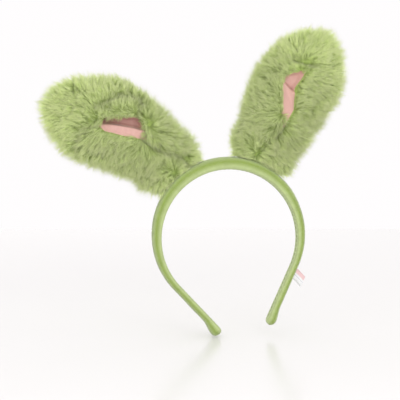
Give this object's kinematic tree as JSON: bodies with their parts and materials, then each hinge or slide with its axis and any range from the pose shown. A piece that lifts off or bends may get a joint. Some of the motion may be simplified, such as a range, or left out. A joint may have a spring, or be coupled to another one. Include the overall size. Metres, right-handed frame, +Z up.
{
  "type": "animal ears headband",
  "caption": "Padded velour headband with a sprung strip inside and a pair of upright, stuffed fur rabbit ears with satin-lined mouths.",
  "frame": {"origin": "centre of the crown's inner arc, which is the middle of the wearer's head, halfway between the band's front and back edges", "axes": "+Z up through the crown, +Y towards the back of the head, +X towards the side called right, which is on the right when the band is seen from the front"},
  "size_m": [0.2739, 0.0331, 0.2612],
  "materials": {
    "band_velour": "matte",
    "band_foam": "matte",
    "spring_strip": "satin",
    "label_satin": "satin",
    "ear_fur": "matte",
    "ear_wadding": "matte",
    "ear_satin": "satin"
  },
  "bodies": {
    "band": {"band_cover": "band_velour", "band_padding": "band_foam", "band_core": "spring_strip", "label": "label_satin"},
    "left_ear": {"left_ear_front": "ear_fur", "left_ear_back": "ear_fur", "left_ear_filling": "ear_wadding", "left_ear_lining": "ear_satin"},
    "right_ear": {"right_ear_front": "ear_fur", "right_ear_back": "ear_fur", "right_ear_filling": "ear_wadding", "right_ear_lining": "ear_satin"}
  },
  "joints": [
    {"name": "left_ear_flop", "type": "hinge", "parent": "band", "child": "left_ear", "pos_m": [-0.03608, 0, 0.06299], "axis": [0.8572, 0, 0.515], "range_deg": [-60, 60], "stiffness_Nm_per_rad": 0.1},
    {"name": "right_ear_flop", "type": "hinge", "parent": "band", "child": "right_ear", "pos_m": [0.03608, 0, 0.06299], "axis": [0.8572, 0, -0.515], "range_deg": [-60, 60], "stiffness_Nm_per_rad": 0.1}
  ]
}
